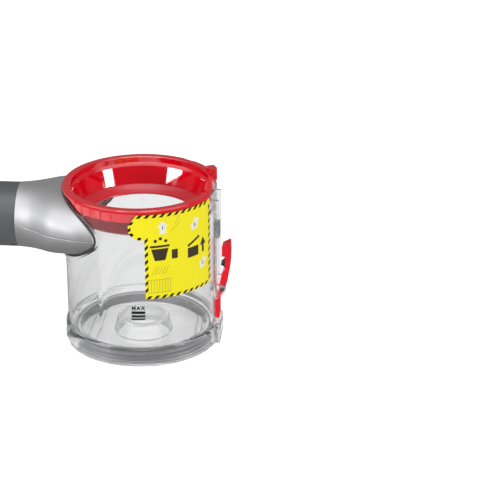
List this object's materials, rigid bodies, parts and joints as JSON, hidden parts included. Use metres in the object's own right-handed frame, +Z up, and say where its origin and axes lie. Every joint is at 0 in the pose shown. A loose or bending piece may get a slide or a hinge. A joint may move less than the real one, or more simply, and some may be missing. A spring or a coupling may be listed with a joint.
{
  "type": "cyclone dust bin",
  "caption": "Clear cylindrical cyclone dust bin with a side inlet socket, a red scraper ring round the open top, a hinged bottom flap and a rear catch lever.",
  "frame": {"origin": "on the bin's axis at the level that the closed flap stands on", "axes": "+Z up along the bin's axis and out of its open top, the inlet socket opens to -X, the catch lever is at +X"},
  "size_m": [0.1872, 0.1132, 0.1244],
  "materials": {
    "clear": "transparent moulded plastic, glossy",
    "red": "glossy moulded plastic",
    "pink_lip": "soft translucent red overmould",
    "maroon_seal": "soft translucent dark red overmould",
    "nickel": "metallic grey paint on moulded plastic",
    "dark_grey": "dark grey moulded plastic, satin gloss",
    "black_rubber": "matt black rubber",
    "grey_plastic": "matt grey plastic",
    "steel": "bright steel",
    "brass": "plain brass",
    "yellow_print": "printed film",
    "black_print": "printed ink"
  },
  "bodies": {
    "bin": {"bin_body": "clear", "scraper_ring": "red", "scraper_lip": "pink_lip", "ring_seal": "maroon_seal", "inlet_upper_shell": "nickel", "inlet_lower_shell": "nickel", "inlet_duct": "grey_plastic", "inlet_gasket": "black_rubber", "socket_collar": "dark_grey", "socket_seal": "black_rubber", "collar_screws": "steel", "contact_block": "grey_plastic", "contact_blades": "brass", "instruction_sticker": "yellow_print", "fill_mark": "black_print", "runner_detent": "grey_plastic", "base_hinge_pin": "steel", "catch_pivot_pin": "steel"},
    "base": {"base_flap": "clear", "base_seal": "black_rubber"},
    "catch": {"catch_lever": "red", "catch_buffer": "black_rubber", "catch_spring": "steel"}
  },
  "joints": [
    {"name": "base_flap_hinge", "type": "hinge", "parent": "bin", "child": "base", "pos_m": [-0.0536, 0, 0.0032], "axis": [0, 1, 0], "range_deg": [0, 90]},
    {"name": "catch_press", "type": "hinge", "parent": "bin", "child": "catch", "pos_m": [0.0592, 0, 0.041], "axis": [0, -1, 0], "range_deg": [0, 4], "stiffness_Nm_per_rad": 0.15, "springref_deg": -8.59}
  ]
}
